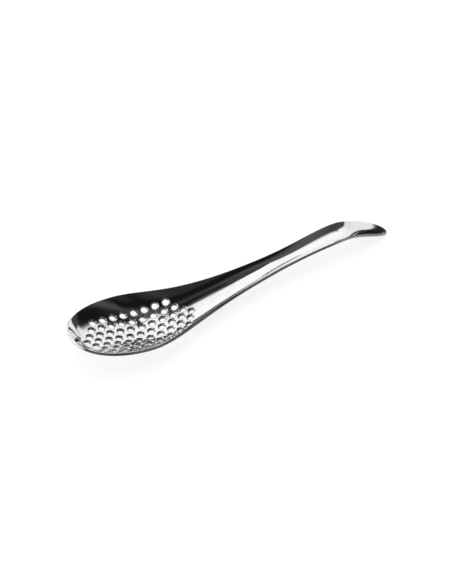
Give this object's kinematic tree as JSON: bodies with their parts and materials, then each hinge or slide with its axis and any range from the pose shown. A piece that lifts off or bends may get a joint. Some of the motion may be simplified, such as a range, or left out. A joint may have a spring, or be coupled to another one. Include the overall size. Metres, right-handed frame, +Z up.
{
  "type": "perforated spoon",
  "caption": "Perforated stainless spoon with a shallow drilled bowl, a channel handle and a hooked tip, for lifting soft spheres out of a setting bath.",
  "frame": {"origin": "on the table, under the middle of the spoon's length and width", "axes": "+X from the front of the bowl to the tip of the handle, +Y across, +Z up from the table; the spoon lies at rest on its bowl and its hooked tip"},
  "size_m": [0.2006, 0.0552, 0.0188],
  "materials": {
    "polished_steel": "mirror-polished stainless sheet with fine polishing lines and light use scratches"
  },
  "bodies": {
    "root": {"spoon": "polished_steel"}
  },
  "joints": []
}
